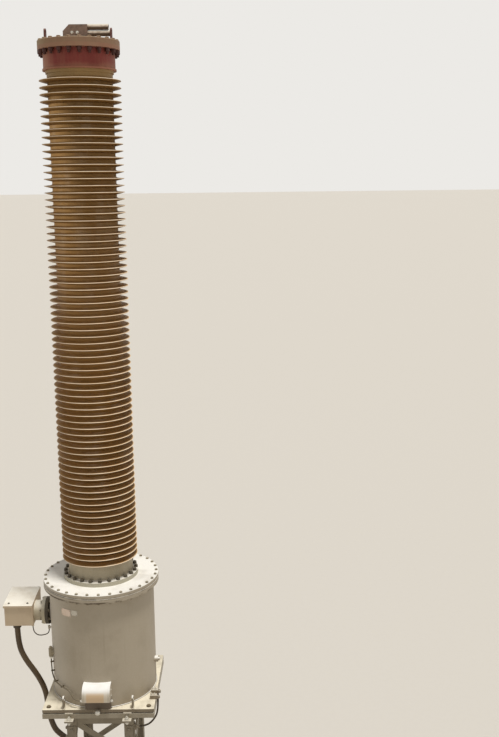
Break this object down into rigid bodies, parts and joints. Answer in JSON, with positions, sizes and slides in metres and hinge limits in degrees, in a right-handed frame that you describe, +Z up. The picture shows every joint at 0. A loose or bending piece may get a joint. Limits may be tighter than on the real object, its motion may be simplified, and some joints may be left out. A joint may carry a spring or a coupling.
{
  "type": "high-voltage instrument transformer",
  "caption": "Gas-insulated voltage transformer: ribbed insulator on a flanged steel tank, terminal box at one side, standing on a lattice pedestal and footing.",
  "frame": {"origin": "centre of the footing's underside, on the insulator's axis, at ground level", "axes": "+Z up along the insulator, +X towards the conductor sockets, -X towards the terminal box, -Y towards the gas monitor at the front"},
  "size_m": [1.2, 0.964, 7.309],
  "materials": {
    "concrete": "rough cast",
    "galvanised_steel": "weathered galvanised",
    "frame_steel": "weathered paint",
    "plate_paint": "dusty satin paint",
    "tank_paint": "satin paint",
    "fitting_metal": "satin paint",
    "brown_glaze": "dusty glaze",
    "collar_metal": "weathered",
    "red_paint": "faded paint",
    "dark_cast": "weathered casting",
    "sleeve_metal": "oxidised",
    "box_paint": "satin paint",
    "conduit_plastic": "weathered",
    "dark_plastic": "weathered",
    "hood_paint": "satin paint",
    "gauge_metal": "satin",
    "bright_steel": "zinc plated",
    "brass_metal": "tarnished",
    "tube_metal": "drawn tube",
    "black_sheath": "matt"
  },
  "bodies": {
    "root": {"base_plate": "plate_paint", "bond_wire": "black_sheath", "bottom_fitting": "fitting_metal", "box_hood": "box_paint", "box_housing": "box_paint", "box_neck": "tank_paint", "bracing_back": "galvanised_steel", "bracing_front": "galvanised_steel", "bracing_left": "galvanised_steel", "bracing_right": "galvanised_steel", "cap_plates": "galvanised_steel", "conductor_sleeves": "sleeve_metal", "conduit": "conduit_plastic", "conduit_clips": "galvanised_steel", "conduit_duct": "dark_plastic", "conduit_gland": "dark_plastic", "earth_clamps": "bright_steel", "earth_lead": "black_sheath", "earthing_ball": "bright_steel", "footing": "concrete", "gas_monitor": "gauge_metal", "gas_tube": "tube_metal", "gas_valve": "brass_metal", "head_cap": "red_paint", "head_lid": "red_paint", "insulator": "brown_glaze", "leg_feet": "galvanised_steel", "legs_back": "galvanised_steel", "legs_front": "galvanised_steel", "lid_lugs": "red_paint", "monitor_block": "dark_cast", "monitor_hood": "hood_paint", "packing_pads": "galvanised_steel", "plate_lugs": "plate_paint", "splice_plates": "galvanised_steel", "support_frame": "frame_steel", "tank_bosses": "tank_paint", "tank_cover": "tank_paint", "tank_flange": "tank_paint", "tank_nozzle": "tank_paint", "tank_shell": "tank_paint", "terminal_block": "dark_cast", "terminal_keeper": "dark_cast", "top_fitting": "collar_metal"}
  },
  "joints": []
}
